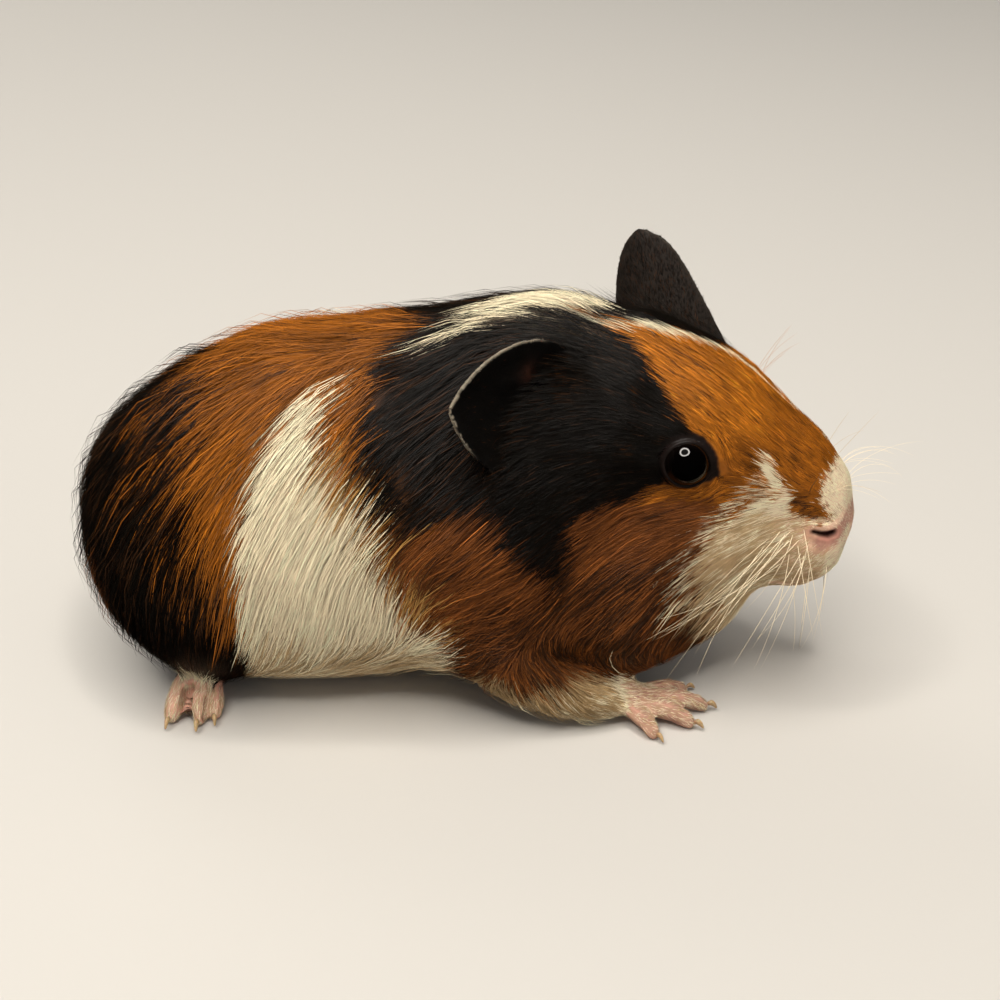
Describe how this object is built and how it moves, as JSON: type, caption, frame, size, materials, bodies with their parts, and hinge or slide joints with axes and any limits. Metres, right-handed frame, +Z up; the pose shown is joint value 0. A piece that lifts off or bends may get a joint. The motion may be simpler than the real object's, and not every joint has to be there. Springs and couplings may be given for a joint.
{
  "type": "guinea pig",
  "caption": "Still life-size model of a young short-haired tricolour guinea pig crouched on the floor, head turned a little to its right.",
  "frame": {"origin": "on the floor, under the middle of the animal's box", "axes": "+X from rump to head, +Y to the animal's left, +Z up"},
  "size_m": [0.1448, 0.0722, 0.0791],
  "materials": {
    "coat_ginger": "short smooth ginger guard hair, lying back along the body",
    "coat_black": "short glossy black guard hair, lying back along the body",
    "coat_cream": "short cream-white guard hair, lying back and down",
    "foot_skin": "bare pink skin under thin pale hair",
    "ear_skin": "dark, nearly bare skin, satin",
    "eye": "wet, polished black",
    "claw": "translucent pale horn, satin"
  },
  "bodies": {
    "root": {"head": "coat_ginger", "neck": "coat_black", "trunk": "coat_cream", "foreleg_right": "coat_ginger", "foreleg_left": "coat_ginger", "hindleg_right": "coat_black", "hindleg_left": "coat_black", "forefoot_right": "foot_skin", "forefoot_left": "foot_skin", "hindfoot_right": "foot_skin", "hindfoot_left": "foot_skin", "ear_right": "ear_skin", "ear_left": "ear_skin", "eye_right": "eye", "eye_left": "eye", "foreclaw_right_1": "claw", "foreclaw_right_2": "claw", "foreclaw_right_3": "claw", "foreclaw_right_4": "claw", "foreclaw_left_1": "claw", "foreclaw_left_2": "claw", "foreclaw_left_3": "claw", "foreclaw_left_4": "claw", "hindclaw_right_1": "claw", "hindclaw_right_2": "claw", "hindclaw_right_3": "claw", "hindclaw_left_1": "claw", "hindclaw_left_2": "claw", "hindclaw_left_3": "claw"}
  },
  "joints": []
}
